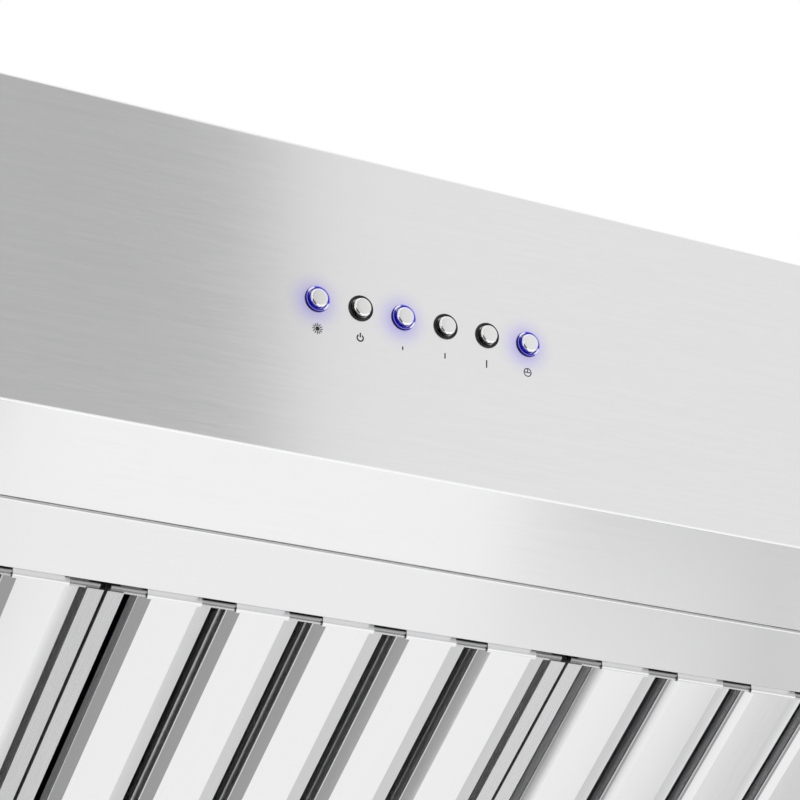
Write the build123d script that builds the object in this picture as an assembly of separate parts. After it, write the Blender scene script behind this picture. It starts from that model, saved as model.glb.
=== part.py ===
from build123d import *
from math import cos, pi, radians, sin, tan
import os

# Range hood insert, 34 3/8 inch body for a 36 inch hood, in millimetres.
# X runs along the width, the cook stands at -Y, and +Z is up. The underside rests on z = 0.
# The control fascia leans forward as it rises, so it looks down at the cook.

# ---------------------------------------------------------------- body
body_width = 873.0
body_depth = 560.0
fascia_slant = 171.5          # fascia from its lower bend to its top edge, along the sheet
fascia_lean = 37.9            # degrees from vertical
front_strip = 55.6            # flat return of the fascia under the body
pan_front_rim = 40.8          # pan from the seam to the filter opening
pan_side_rim = 27.0
pan_rear_rim = 45.0
seam_gap = 0.5                # between the front strip and the pan
sheet = 1.2                   # stainless sheet of the body
bend = 2.0                    # outer radius of a bend
strip_upstand = 12.0
top_return = 42.0             # fascia's flange over the deck
deck_setback = 25.0           # deck's front edge behind the fascia's top edge
deck_flange = 16.0
pan_upstand = 15.0
opening_upstand = 14.0
rear_ledge_height = 24.0
rear_ledge = 14.0

# ---------------------------------------------------------------- buttons
round_sides = 24              # flats that stand for the round of small repeated pieces
button_count = 6
button_pitch = 25.0
button_height = 84.9          # row above the lower bend, along the fascia
button_names = ("light", "power", "low", "medium", "high", "timer")
lit_buttons = ("light", "low", "timer")
cap_radius = 5.0
cap_proud = 3.4
cap_gap = 0.3
cap_travel = 1.2
cap_foot = 11.0               # square foot that keeps the cap in its ring
cap_foot_thickness = 1.2
stem_side = 4.0
stem_length = 10.0
ring_radius = 7.1
ring_height = 1.2
hole_gap = 0.2
rest_gap = 0.1                # between a cap's foot and its ring
switch_side = 6.2
switch_height = 3.4
plunger_side = 2.6
plunger_height = 1.2
board_thickness = 1.6
board_margin = 14.0
board_height = 34.0
housing_wall = 2.0
housing_gap = 0.5
housing_floor_gap = 5.0       # height of the posts under the board
post_side = 6.0

# ---------------------------------------------------------------- filters
filter_count = 3
filter_side_gap = 1.0
filter_gap = 2.0
filter_front_gap = 4.5
filter_rear_gap = 3.0
filter_recess = 1.0           # baffles above the underside
filter_height = 18.0
frame_sheet = 1.0
frame_top_flange = 12.0
frame_side_flange = 17.0
frame_bottom_flange = 9.0
frame_foot_gap = 0.4          # end walls over the baffles' flats, clear of the fold
baffle_sheet = 0.8
baffle_count = 5
baffle_margin = 14.8          # from the frame's side to the outer baffle
baffle_gap = 8.6              # between two lower baffles
baffle_flank = 8.0
baffle_flank_rise = 1.8
baffle_lip = 8.0
baffle_tab = 8.0              # ends of a lower baffle, folded up over the frame
tab_lean = 60.0               # degrees; the front end first rises at this slope
tab_reach = 2.0               # so that it stands this far before the flat
tab_flare = 2.5               # and it is wider than the flat on each side
upper_leg_inset = 1.2         # upper baffle's legs inside the edge of the lower baffle's flat
upper_leg_gap = 3.2           # and over it
hook_width = 12.0
hook_inset = 13.5             # from the frame's side to the hook's middle
hook_reach = 4.0
hook_height = 5.0             # hook's middle over the baffles' underside
hook_slot_gap = 1.9
finger_slot_length = 32.0
finger_slot_width = 17.0
finger_slot_setback = 38.0
magnet_size = (24.0, 9.0)
magnet_inset = 40.5
magnet_gap = 0.3

# ---------------------------------------------------------------- lamps
lamp_inset = 146.5            # from the body's side to the lamp's middle
lamp_radius = 20.0
lamp_clip_reach = 5.0         # spring clips that rest on the sheet
lamp_clip_width = 8.0
lamp_clip_height = 5.0
lamp_bezel_width = 3.0
lamp_depth = 9.0
lamp_recess = 0.2
lens_thickness = 2.0
lens_setback = 1.0
heatsink_side = 36.0
heatsink_base = 3.0
heatsink_height = 20.0
fin_count = 5
fin_thickness = 1.4

# ---------------------------------------------------------------- blower box
box_width = 400.0
box_front = 140.0             # in front of the body's middle
box_rear = 190.0
box_top = 300.0
box_sheet = 1.0
box_flange = 16.0
lid_skirt = 15.0
lid_gap = 0.2
deck_hole_margin = 10.0

# ---------------------------------------------------------------- scroll and wheel
wheel_y = -10.0
wheel_z = 175.0
wheel_radius = 75.0
wheel_inner = 62.0
wheel_gap = 6.0               # between the wheel and the scroll's sides
wheel_ring = 3.0
wheel_disc = 1.5
wheel_disc_lap = 1.5          # disc past the blades' inner edges
wheel_rim = 6.0
blade_count = 20
blade_thickness = 0.9
blade_tip = (74.0, 8.0)       # radius, and degrees ahead of the blade's heel
hub_radius = 12.0
hub_length = 16.0
scroll_width = 176.0
scroll_sheet = 1.0
scroll_start = 62.0           # degrees over the horizontal, at the cutoff
scroll_start_radius = 83.0
scroll_end_radius = 135.0
scroll_flats = 22
scroll_side_margin = 4.0
scroll_corner = 45.0
scroll_front_reach = 150.0
cutoff_radius = 3.0
outlet_top = 268.0
inlet_radius = 57.0

# ---------------------------------------------------------------- motor
motor_radius = 44.0
motor_stand = 19.0            # from the scroll's side to the motor's face
motor_length = 70.0
shaft_radius = 4.0
shaft_end = 4.0
running_gap = 0.06
arm_count = 3
arm_width = 18.0
arm_sheet = 2.0
arm_foot_radius = 76.0
arm_foot_length = 20.0
bracket_radius = 36.0
bracket_hole = 14.0
arm_inset = 4.0               # arms' inner ends from the bracket's hole
capacitor_size = (24.0, 50.0, 34.0)
capacitor_y = 120.0
capacitor_z = 215.0
capacitor_bevel = 2.0

# ---------------------------------------------------------------- duct collar and damper
collar_radius = 101.0         # 8 inch duct slides over
collar_sheet = 1.0
collar_height = 52.0
collar_y = 60.0
collar_plate = 240.0          # square plate on the lid
stop_lug = (10.0, 5.0, 3.0)   # width, reach and height of the stops under the flaps
transition_sheet = 1.0
transition_creases = 6        # brake bends that shape each corner
flap_height = 26.0            # damper pins over the lid
flap_sheet = 0.8
flap_gap = 2.5
flap_seat_gap = 0.3
pin_radius = 1.5
pin_offset = 3.2
knuckle_wall = 1.0
knuckle_length = 14.0
knuckle_offset = 55.0
flap_overhang = 2.4

# ---------------------------------------------------------------- wiring
junction_size = (100.0, 80.0, 50.0)
junction_box_gap = 14.0       # from the blower box's flange
junction_rear_gap = 70.0      # from the body's back
junction_cover_skirt = 10.0
junction_cover_gap = 0.3
knockout_radius = 11.1
bushing_bore = 8.0
bushing_flange = 2.0
bushing_hexagon = 14.0
bushing_length = 9.0
terminal_size = (52.0, 20.0, 16.0)
terminal_ways = 4
terminal_slot = 7.0
terminal_wall = 3.0
module_size = (110.0, 70.0, 36.0)
module_side_gap = 61.5        # from the body's side
module_front_gap = 52.0       # from the deck's front edge

# ---------------------------------------------------------------- fixing holes
fixing_hole = 4.0
fixing_side_inset = 41.5
fixing_rear_inset = 65.0
side_hole = 2.6
side_hole_y = 150.0
side_hole_z = 100.0

# ---------------------------------------------------------------- places worked out from the sizes
lean = radians(fascia_lean)
body_height = fascia_slant * cos(lean)
half_width = body_width / 2
top_nose = bend / tan((pi / 2 - lean) / 2) - bend      # what the round bend takes off the fascia's top edge
front_y = -body_depth / 2 - top_nose
rear_y = body_depth / 2
bend_y = front_y + fascia_slant * sin(lean)
seam_y = bend_y + front_strip
opening_front = seam_y + pan_front_rim
opening_rear = rear_y - pan_rear_rim
opening_half = half_width - pan_side_rim
deck_top = body_height - sheet
panel = Plane(
    origin=(0, bend_y - button_height * sin(lean), button_height * cos(lean)),
    x_dir=(1, 0, 0),
    z_dir=(0, -cos(lean), -sin(lean)),
)
button_xs = [(i - (button_count - 1) / 2) * button_pitch for i in range(button_count)]
filter_width = (2 * opening_half - 2 * filter_side_gap - (filter_count - 1) * filter_gap) / filter_count
filter_xs = [(i - (filter_count - 1) / 2) * (filter_width + filter_gap) for i in range(filter_count)]
filter_front = opening_front + filter_front_gap
filter_rear = opening_rear - filter_rear_gap
filter_top = filter_recess + filter_height
hook_offset = filter_width / 2 - hook_inset
magnet_offset = filter_width / 2 - magnet_inset
wall_front = filter_front + baffle_sheet
wall_rear = filter_rear - baffle_sheet
flat_top = filter_recess + baffle_sheet
baffle_pitch = (filter_width + baffle_gap - 2 * baffle_margin) / baffle_count
baffle_flat = baffle_pitch - baffle_gap - 2 * baffle_flank
baffle_xs = [(i - (baffle_count - 1) / 2) * baffle_pitch for i in range(baffle_count)]
upper_width = baffle_pitch - baffle_flat + 2 * upper_leg_inset
hook_z = filter_recess + hook_height
wheel_width = scroll_width - 2 * wheel_gap
motor_front = scroll_width / 2 + scroll_sheet + motor_stand
outlet_left = wheel_y + scroll_start_radius * cos(radians(scroll_start))
outlet_right = wheel_y + scroll_end_radius
flap_z = box_top + flap_height
knuckle_radius = pin_radius + running_gap + knuckle_wall
lamp_offset = half_width - lamp_inset
lamp_y = (bend_y + seam_y) / 2
junction_x = -box_width / 2 - box_flange - junction_box_gap - junction_size[0] / 2
junction_y = rear_y - junction_rear_gap - junction_size[1] / 2
module_x = -half_width + module_side_gap + module_size[0] / 2
module_y = front_y + deck_setback + module_front_gap + module_size[1] / 2
fixing_x = half_width - fixing_side_inset
fixing_y = rear_y - fixing_rear_inset
UP = (Align.CENTER, Align.CENTER, Align.MIN)
DOWN = (Align.CENTER, Align.CENTER, Align.MAX)


def box(x0, x1, y0, y1, z0, z1):
    return Pos((x0 + x1) / 2, (y0 + y1) / 2, (z0 + z1) / 2) * Box(x1 - x0, y1 - y0, z1 - z0)


def polar(radius, degrees):
    return radius * cos(radians(degrees)), radius * sin(radians(degrees))


def disc(x, y, z0, z1, radius):
    return Pos(x, y, z0) * Cylinder(radius, z1 - z0, align=UP)


def many_sided(radius, z0, z1, sides=round_sides):
    """A prism about the Z axis, whose corners lie on the radius."""
    return Pos(0, 0, z0) * extrude(RegularPolygon(radius, sides), z1 - z0)


def strip(line, thickness, side=Side.LEFT):
    """The section of a sheet whose one face follows an open line."""
    return make_face(offset(line, amount=thickness, side=side, closed=True, kind=Kind.INTERSECTION).edges())


def tray(x0, x1, y0, y1, z0, z1, t, closed):
    """A sheet tray with four flanges, closed at its top or bottom, with rounded folds there."""
    block = box(x0, x1, y0, y1, z0, z1)
    ends = block.faces().sort_by(Axis.Z)
    block = fillet((ends[-1] if closed == "top" else ends[0]).edges(), t)
    low, high = (z0 + t, z1 + t) if closed == "bottom" else (z0 - t, z1 - t)
    return block - box(x0 + t, x1 - t, y0 + t, y1 - t, low, high)


# ---------------------------------------------------------------- body sheets
def front_fascia():
    line = FilletPolyline(
        (front_y + top_return, body_height),
        (front_y, body_height),
        (bend_y, 0),
        (seam_y - seam_gap, 0),
        (seam_y - seam_gap, strip_upstand),
        radius=bend,
    )
    part = extrude(Plane.YZ * strip(line, sheet), half_width, both=True)
    for side in (-1, 1):
        end = side * half_width
        notch = end - side * (sheet + seam_gap)
        low, high = min(end, notch), max(end, notch)
        part -= box(low, high, seam_y - 3 * sheet, seam_y, sheet, strip_upstand + sheet)
    for x in button_xs:
        part -= panel * Pos(x, 0, 0) * many_sided(cap_radius + cap_gap, -3 * sheet, 3 * sheet)
    for x in (-lamp_offset, lamp_offset):
        part -= Pos(x, lamp_y, 0) * many_sided(lamp_radius, -sheet, 2 * sheet)
    return part


def side_panel(side):
    inset = sheet / cos(lean)
    outline = Polyline(
        (front_y + inset + sheet * tan(lean), deck_top),
        (bend_y + inset - sheet * tan(lean), sheet),
        (seam_y, sheet),
        (seam_y, 0),
        (rear_y - sheet, 0),
        (rear_y - sheet, deck_top),
        close=True,
    )
    outer = side * half_width
    part = extrude(Plane.YZ.offset(outer) * make_face(outline.edges()), -side * sheet)
    for y in (-side_hole_y, side_hole_y):
        part -= Pos(outer, y, side_hole_z) * Rot(0, 90, 0) * many_sided(side_hole, -2 * sheet, 2 * sheet, 12)
    return part


def back_panel():
    return box(-half_width, half_width, rear_y - sheet, rear_y, 0, deck_top)


def top_deck():
    inner = half_width - sheet
    front = front_y + deck_setback
    part = tray(-inner, inner, front, rear_y - sheet, deck_top - deck_flange, deck_top, sheet, "top")
    low, high = deck_top - 2 * sheet, deck_top + sheet
    hole_x = box_width / 2 - deck_hole_margin
    part -= box(-hole_x, hole_x, deck_hole_margin - box_front, box_rear - deck_hole_margin, low, high)
    for x in (-fixing_x, fixing_x):
        for y in (-fixing_y, fixing_y):
            part -= disc(x, y, low, high, fixing_hole)
    return part


def underside_pan():
    inner = half_width - sheet
    o, t = opening_half, sheet
    part = tray(-inner, inner, seam_y, rear_y - sheet, 0, pan_upstand, t, "bottom")
    ledge_front, ledge_top = opening_rear - rear_ledge, rear_ledge_height
    part += box(-o - t, o + t, opening_front - t, opening_rear + t, 0, opening_upstand)
    part += box(-o - t, o + t, ledge_front, opening_rear + t, opening_upstand, ledge_top)
    part -= box(-o, o, opening_front, opening_rear, -t, ledge_top - t)
    part -= box(-o - 2 * t, o + 2 * t, opening_front, ledge_front, opening_upstand, ledge_top + t)
    rim = part.edges().filter_by(lambda e: abs(e.center().Z) < 0.01 and abs(e.center().X) < o + 0.1)
    rim = rim.filter_by(lambda e: opening_front - 0.1 < e.center().Y < opening_rear + 0.1)
    part = fillet(rim, sheet * 0.8)
    slot = Box(hook_width + hook_slot_gap, 4 * t, 2 * hook_slot_gap + frame_sheet)
    for fx in filter_xs:
        for x in (fx - hook_offset, fx + hook_offset):
            part -= Pos(x, opening_front, hook_z) * slot
    return part


def catch_magnets():
    part = []
    long, wide = magnet_size
    y = opening_rear - rear_ledge + wide / 2
    low, high = filter_top + magnet_gap, rear_ledge_height - sheet
    for fx in filter_xs:
        for x in (fx - magnet_offset, fx + magnet_offset):
            part.append(box(x - long / 2, x + long / 2, y - wide / 2, y + wide / 2, low, high))
    return part


# ---------------------------------------------------------------- filters, about their own middle
def filter_frame():
    half, f = filter_width / 2, frame_sheet
    part = box(-half, half, wall_front, wall_rear, filter_recess, filter_top)
    part -= box(-half + f, half - f, wall_front + f, wall_rear - f, filter_recess - f, filter_top - f)
    inner, front, rear = half - frame_side_flange, wall_front + frame_top_flange, wall_rear - frame_top_flange
    part -= box(-inner, inner, front, rear, filter_top - 2 * f, filter_top + f)
    foot = flat_top + frame_foot_gap
    part -= box(-half + f, half - f, wall_front - f, wall_rear + f, filter_recess - f, foot)
    flange = Box(frame_bottom_flange, wall_rear - wall_front, f, align=UP)
    hook_tip = opening_front - sheet - hook_reach
    hook = Box(hook_width, wall_front - hook_tip, f)
    flange_x, flange_y = half - frame_bottom_flange / 2, (wall_front + wall_rear) / 2
    for side in (-1, 1):
        part += Pos(side * flange_x, flange_y, filter_recess) * flange
        part += Pos(side * hook_offset, (hook_tip + wall_front) / 2, hook_z) * hook
    return part


def lower_baffle(x, finger_slot):
    """A trapezoid channel, open upward. Its flat runs on under the frame and folds up over both ends."""
    edge = baffle_flat / 2
    lip = edge + baffle_flank
    z = filter_recess
    line = Polyline(
        (-lip, z + baffle_flank_rise + baffle_lip),
        (-lip, z + baffle_flank_rise),
        (-edge, z),
        (edge, z),
        (lip, z + baffle_flank_rise),
        (lip, z + baffle_flank_rise + baffle_lip),
    )
    y0, y1 = wall_front + frame_sheet, wall_rear - frame_sheet
    part = Pos(0, y1, 0) * extrude(Plane.XZ * strip(line, baffle_sheet), y1 - y0)
    rear_end = Polyline((filter_front, z), (filter_rear, z), (filter_rear, z + baffle_tab))
    part += extrude(Plane.YZ * strip(rear_end, baffle_sheet), edge, both=True)
    front_end = Polyline(
        (filter_front - tab_reach, z + baffle_tab),
        (filter_front - tab_reach, z + tab_reach * tan(radians(tab_lean))),
        (filter_front, z),
        (filter_front + 2 * baffle_sheet, z),
    )
    part += extrude(Plane.YZ * strip(front_end, baffle_sheet), edge + tab_flare, both=True)
    if finger_slot:
        slot = SlotOverall(finger_slot_length, finger_slot_width, rotation=90)
        part -= Pos(0, filter_rear - finger_slot_setback, z - 1) * extrude(slot, 3)
    return Pos(x, 0, 0) * part


def upper_baffle(x):
    """An upside-down channel over the gap between two lower ones. Its legs reach down inside them."""
    half = upper_width / 2
    top = filter_top - frame_sheet
    foot = flat_top + upper_leg_gap
    line = Polyline((-half, foot), (-half, top), (half, top), (half, foot))
    y0, y1 = wall_front + frame_sheet, wall_rear - frame_sheet
    return Pos(x, y1, 0) * extrude(Plane.XZ * strip(line, baffle_sheet, Side.RIGHT), y1 - y0)


# ---------------------------------------------------------------- buttons, on the fascia's own plane


def button_ring():
    return many_sided(ring_radius, 0, ring_height) - many_sided(cap_radius + cap_gap, -1, 2 * ring_height)


def button_cap():
    """A round cap on a square foot, which the fascia keeps in, and a stem that reaches the switch."""
    foot_top = -sheet - rest_gap
    part = many_sided(cap_radius, foot_top, cap_proud)
    part += Pos(0, 0, foot_top) * Box(cap_foot, cap_foot, cap_foot_thickness, align=DOWN)
    return part + Pos(0, 0, foot_top) * Box(stem_side, stem_side, stem_length, align=DOWN)


def switch_top():
    return -sheet - rest_gap - stem_length - cap_travel - rest_gap


def board_top():
    return switch_top() - plunger_height - switch_height


def key_switch():
    part = Pos(0, 0, board_top()) * Box(switch_side, switch_side, switch_height, align=UP)
    plunger = Box(plunger_side, plunger_side, plunger_height, align=UP)
    return part + Pos(0, 0, board_top() + switch_height) * plunger


def board_half():
    return button_xs[-1] + board_margin


def control_board():
    return panel * Pos(0, 0, board_top()) * Box(2 * board_half(), board_height, board_thickness, align=DOWN)


def control_housing():
    """A moulded box, open to the fascia, with four posts and a ledge under the board."""
    w = housing_wall
    hx, hy = board_half() + housing_gap, board_height / 2 + housing_gap
    back = board_top() - board_thickness - housing_floor_gap - w
    part = box(-hx - w, hx + w, -hy - w, hy + w, back, -sheet)
    part -= box(-hx, hx, -hy, hy, back + w, 0)
    px, py = hx - post_side / 2, hy - post_side / 2
    for x in (-px, px):
        for y in (-py, py):
            part += Pos(x, y, back + w) * Box(post_side, post_side, housing_floor_gap, align=UP)
    return panel * part


# ---------------------------------------------------------------- lamps
def lamp_bezel(x):
    """A short can that is flush with the strip, on two spring clips over the sheet."""
    r = lamp_radius - hole_gap
    clips = r + lamp_clip_reach
    part = many_sided(r, lamp_recess, sheet + lamp_depth)
    part += Pos(0, 0, sheet) * Box(2 * clips, lamp_clip_width, lamp_clip_height, align=UP)
    return Pos(x, lamp_y, 0) * (part - many_sided(r - lamp_bezel_width, -1, sheet + lamp_depth + 1))


def lamp_lens(x):
    z = lamp_recess + lens_setback
    return Pos(x, lamp_y, 0) * many_sided(lamp_radius - hole_gap - lamp_bezel_width, z, z + lens_thickness)


def lamp_heatsink(x):
    half = heatsink_side / 2
    z = sheet + lamp_depth
    part = box(x - half, x + half, lamp_y - half, lamp_y + half, z, z + heatsink_base)
    for i in range(fin_count):
        fx = x - half + fin_thickness / 2 + i * (heatsink_side - fin_thickness) / (fin_count - 1)
        part += Pos(fx, lamp_y, z + heatsink_base) * Box(
            fin_thickness, heatsink_side, heatsink_height - heatsink_base, align=UP
        )
    return part


# ---------------------------------------------------------------- blower box
def blower_box():
    x, t, f = box_width / 2, box_sheet, box_flange
    part = box(-x, x, -box_front, box_rear, deck_top, box_top - t - lid_gap)
    part += box(-x - f, x + f, -box_front - f, box_rear + f, deck_top, deck_top + t)
    return part - box(-x + t, x - t, -box_front + t, box_rear - t, deck_top - t, box_top + t)


def blower_box_lid():
    x = box_width / 2 + lid_gap + box_sheet
    y0, y1 = -box_front - lid_gap - box_sheet, box_rear + lid_gap + box_sheet
    part = box(-x, x, y0, y1, box_top - lid_skirt, box_top)
    part -= box(-x + box_sheet, x - box_sheet, y0 + box_sheet, y1 - box_sheet, 0, box_top - box_sheet)
    bore = collar_radius - collar_sheet - transition_sheet
    hole = many_sided(bore, box_top - 2 * box_sheet, box_top + box_sheet, 4 * transition_creases)
    return part - Pos(0, collar_y, 0) * hole


# ---------------------------------------------------------------- scroll
def spiral(extra):
    """Corners of the scroll's growing radius, from the cutoff round to the outlet's far wall."""
    growth = scroll_end_radius / scroll_start_radius
    points = []
    for i in range(scroll_flats + 1):
        share = i / scroll_flats
        y, z = polar(scroll_start_radius * growth**share + extra, scroll_start + share * (360 - scroll_start))
        points.append((wheel_y + y, wheel_z + z))
    return points


def scroll_wrap():
    t = scroll_sheet
    inner, outer = spiral(0), spiral(t)
    band = make_face(Polyline(*inner, *reversed(outer), close=True).edges())
    nose_y, nose_z = inner[0]
    far = Pos(outlet_right + t / 2, (wheel_z + outlet_top) / 2) * Rectangle(t, outlet_top - wheel_z)
    near = Pos(nose_y - t / 2, (nose_z + outlet_top) / 2) * Rectangle(t, outlet_top - nose_z)
    edge = Pos(nose_y - t / 2, nose_z + t) * RegularPolygon(cutoff_radius, 8)
    return extrude(Plane.YZ * (band + far + near + edge), scroll_width / 2, both=True)


def scroll_side(side):
    """A flat plate with cut corners round the scroll's outline, with a round inlet."""
    t, m = scroll_sheet, scroll_side_margin
    low = wheel_z - scroll_start_radius * (scroll_end_radius / scroll_start_radius) ** 0.7 - m
    front = outlet_left - scroll_front_reach
    rear = outlet_right + m
    outline = Polyline(
        (outlet_left - m, outlet_top),
        (rear, outlet_top),
        (rear, low + scroll_corner),
        (rear - scroll_corner, low),
        (front + scroll_corner, low),
        (front, low + scroll_corner),
        (front, wheel_z + scroll_corner),
        close=True,
    )
    part = extrude(Plane.YZ.offset(side * scroll_width / 2) * make_face(outline.edges()), side * t)
    inlet = many_sided(inlet_radius, -2 * t, 2 * t, 36)
    return part - Pos(side * scroll_width / 2, wheel_y, wheel_z) * Rot(0, 90, 0) * inlet


# ---------------------------------------------------------------- wheel, shaft and motor, along X
def along_x(x, part):
    return Pos(x, wheel_y, wheel_z) * Rot(0, 90, 0) * part


def impeller():
    """A double-inlet wheel: slanted blades between two rings, and a middle disc with the hub."""
    half, core = wheel_width / 2, wheel_disc / 2
    line = Polyline((wheel_inner, 0), polar(*blade_tip))
    blade = extrude(strip(line, blade_thickness), half, both=True)
    blades = [Rot(0, 0, i * 360 / blade_count) * blade for i in range(blade_count)]
    ring = many_sided(wheel_radius, -wheel_ring / 2, wheel_ring / 2, blade_count)
    ring -= many_sided(wheel_radius - wheel_rim, -wheel_ring, wheel_ring, blade_count)
    rings = [Pos(0, 0, s * (half - wheel_ring / 2)) * ring for s in (-1, 1)]
    part = many_sided(wheel_inner + wheel_disc_lap, -core, core, blade_count)
    part += many_sided(hub_radius, 0, hub_length, 12)
    part -= Cylinder(shaft_radius + running_gap, 3 * hub_length)
    return along_x(0, part.fuse(*blades, *rings))


def motor_shaft():
    return along_x(-shaft_end, Cylinder(shaft_radius, motor_front + shaft_end, align=UP))


def motor_body():
    return along_x(motor_front, many_sided(motor_radius, 0, motor_length, 36))


def motor_bracket():
    """A face plate on three folded arms that bridge the right inlet."""
    foot = scroll_width / 2 + scroll_sheet
    line = Polyline(
        (arm_foot_radius + arm_foot_length, foot),
        (arm_foot_radius, foot),
        (arm_foot_radius, motor_front - arm_sheet),
        (bracket_hole + arm_inset, motor_front - arm_sheet),
    )
    arm = extrude(Plane.XZ * strip(line, arm_sheet, Side.RIGHT), arm_width / 2, both=True)
    face = extrude(RegularPolygon(bracket_radius, 2 * arm_count), arm_sheet)
    plate = Pos(0, 0, motor_front - arm_sheet) * face
    arms = [Rot(0, 0, a * 360 / arm_count + 90) * arm for a in range(arm_count)]
    part = plate.fuse(*arms)
    part -= Pos(0, 0, motor_front - 3 * arm_sheet) * Cylinder(bracket_hole, 6 * arm_sheet, align=UP)
    return along_x(0, part)


def capacitor():
    """A block on the box's right wall."""
    x, y, z = capacitor_size
    middle = Pos(box_width / 2 - box_sheet - x / 2, capacitor_y, capacitor_z)
    part = middle * Box(x, y, z)
    return chamfer(part.edges().filter_by(Axis.X), capacitor_bevel)


# ---------------------------------------------------------------- duct
def outlet_corners(grow):
    wide = scroll_width / 2 + grow
    near, far = outlet_left - grow, outlet_right + grow
    return [(x, y, outlet_top) for x, y in ((wide, far), (-wide, far), (-wide, near), (wide, near))]


def transition_block(grow):
    """Flat triangles from the four corners of the scroll's outlet to the round end."""
    top = box_top - box_sheet
    radius = collar_radius - collar_sheet - transition_sheet + grow
    corners = outlet_corners(grow)
    count = 4 * transition_creases
    round_end = []
    for i in range(count):
        x, y = polar(radius, i * 360 / count)
        round_end.append((x, collar_y + y, top))
    faces = [round_end, corners]
    for i, corner in enumerate(corners):
        for j in range(transition_creases):
            start = i * transition_creases + j
            faces.append((corner, round_end[start], round_end[(start + 1) % count]))
        faces.append((corner, corners[i - 1], round_end[i * transition_creases]))
    return Solid(Shell([make_face(Polyline(*face, close=True).edges()).face() for face in faces]))


def duct_transition():
    """Square to round, from the scroll's outlet to the duct collar."""
    return transition_block(transition_sheet) - transition_block(0)


def duct_collar():
    """A tube on a square plate, with the two hinge rods of the damper across it and stops under the flaps."""
    r, t, half = collar_radius, collar_sheet, collar_plate / 2
    part = disc(0, collar_y, box_top, box_top + collar_height, r)
    part += box(-half, half, collar_y - half, collar_y + half, box_top, box_top + sheet)
    part -= disc(0, collar_y, box_top - 1, box_top + collar_height + 1, r - t)
    wide, reach, high = stop_lug
    lug_top = flap_z - knuckle_radius - flap_seat_gap
    for turn in (60, 120, 240, 300):
        lug = Pos(r - t - reach / 2 + t / 2, 0, lug_top) * Box(reach + t, wide, high, align=DOWN)
        part += Pos(0, collar_y, 0) * Rot(0, 0, turn) * lug
    for y in (collar_y - pin_offset, collar_y + pin_offset):
        part += Pos(0, y, flap_z) * Rot(0, 90, 0) * Cylinder(pin_radius, 2 * r - t)
    return part


def damper_flap(side):
    """Half a disc with two hinge lugs; side -1 is the front one."""
    pin_y = collar_y + side * pin_offset
    low = flap_z - knuckle_radius
    plate = disc(0, collar_y, low, low + flap_sheet, collar_radius - collar_sheet - flap_gap)
    edge = pin_y - side * flap_overhang
    far = edge + side * 2 * collar_radius
    plate &= box(-collar_radius, collar_radius, min(edge, far), max(edge, far), low, low + flap_sheet)
    for x in (-knuckle_offset, knuckle_offset):
        plate += Pos(x, pin_y, flap_z) * Box(knuckle_length, 2 * knuckle_radius, 2 * knuckle_radius)
    bore = many_sided((pin_radius + running_gap) / cos(pi / 8), -collar_radius, collar_radius, 8)
    return plate - Pos(0, pin_y, flap_z) * Rot(0, 90, 0) * bore


# ---------------------------------------------------------------- wiring
def junction_box():
    w, d, h = junction_size
    part = tray(-w / 2, w / 2, -d / 2, d / 2, deck_top, deck_top + h, sheet, "bottom")
    part = Pos(junction_x, junction_y, 0) * part
    hole = Pos(junction_x - w / 2, junction_y, deck_top + h / 2) * Rot(0, 90, 0)
    return part - hole * many_sided(knockout_radius, -3 * sheet, 3 * sheet, 12)


def junction_box_cover():
    w, d, h = junction_size
    g = junction_cover_gap + sheet
    top = deck_top + h + junction_cover_gap + sheet
    x, y = w / 2 + g, d / 2 + g
    part = box(-x, x, -y, y, top - junction_cover_skirt, top)
    part -= box(-x + sheet, x - sheet, -y + sheet, y - sheet, 0, top - sheet)
    return Pos(junction_x, junction_y, 0) * part


def conduit_bushing():
    w, d, h = junction_size
    part = many_sided(knockout_radius - 0.05, 0, bushing_length, 12)
    part += extrude(RegularPolygon(bushing_hexagon, 6), -bushing_flange)
    part -= Pos(0, 0, -bushing_flange) * Cylinder(bushing_bore, bushing_length + bushing_flange + 1, align=UP)
    return Pos(junction_x - w / 2, junction_y, deck_top + h / 2) * Rot(0, 90, 0) * part


def terminal_block():
    w, d, h = terminal_size
    part = Pos(junction_x, junction_y, deck_top + sheet) * Box(w, d, h, align=UP)
    for i in range(terminal_ways):
        x = junction_x + (i - (terminal_ways - 1) / 2) * w / terminal_ways
        part -= Pos(x, junction_y, deck_top + sheet + h) * Box(terminal_slot, d - 2 * terminal_wall, h)
    return part


def power_module():
    return Pos(module_x, module_y, deck_top - sheet) * Box(*module_size, align=DOWN)


def export(name, *parts):
    solids = [s for p in parts for s in p.solids()]
    shape = solids[0] if len(solids) == 1 else Compound(children=solids)
    export_step(shape, f"parts/{name}.step")


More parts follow.
